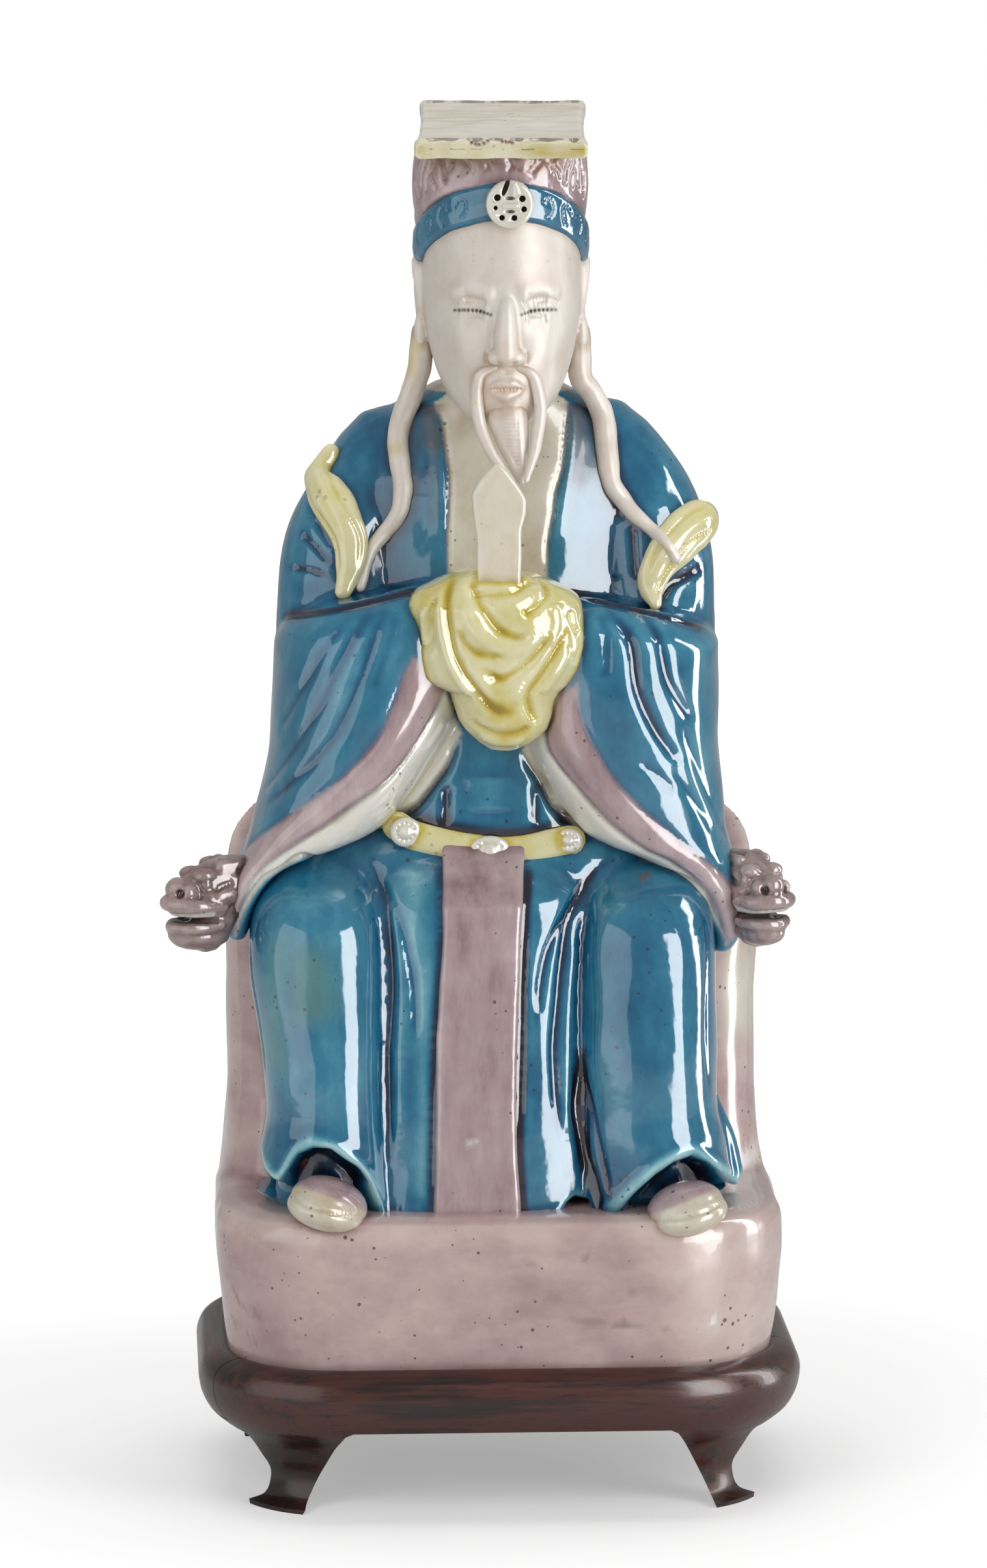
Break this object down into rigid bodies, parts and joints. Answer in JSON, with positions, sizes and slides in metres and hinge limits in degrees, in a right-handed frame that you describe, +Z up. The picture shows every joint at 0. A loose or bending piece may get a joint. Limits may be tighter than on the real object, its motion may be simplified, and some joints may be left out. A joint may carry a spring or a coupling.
{
  "type": "seated figure on stand",
  "caption": "Glazed porcelain figure of a bearded immortal in a flat board hat and long robes, enthroned on a plinth, with a low hardwood bracket-foot stand.",
  "frame": {"origin": "on the floor, under the middle of the whole object's bounding box", "axes": "+Z up, the figure faces -Y, +X is the viewer's right"},
  "size_m": [0.136, 0.098, 0.2921],
  "materials": {
    "glaze": "glossy turquoise, aubergine and yellow enamels on white biscuit",
    "hardwood": "polished dark rosewood"
  },
  "bodies": {
    "root": {"figure": "glaze", "stand_front": "hardwood", "stand_back": "hardwood", "stand_left_rail": "hardwood", "stand_right_rail": "hardwood", "stand_board": "hardwood"}
  },
  "joints": []
}
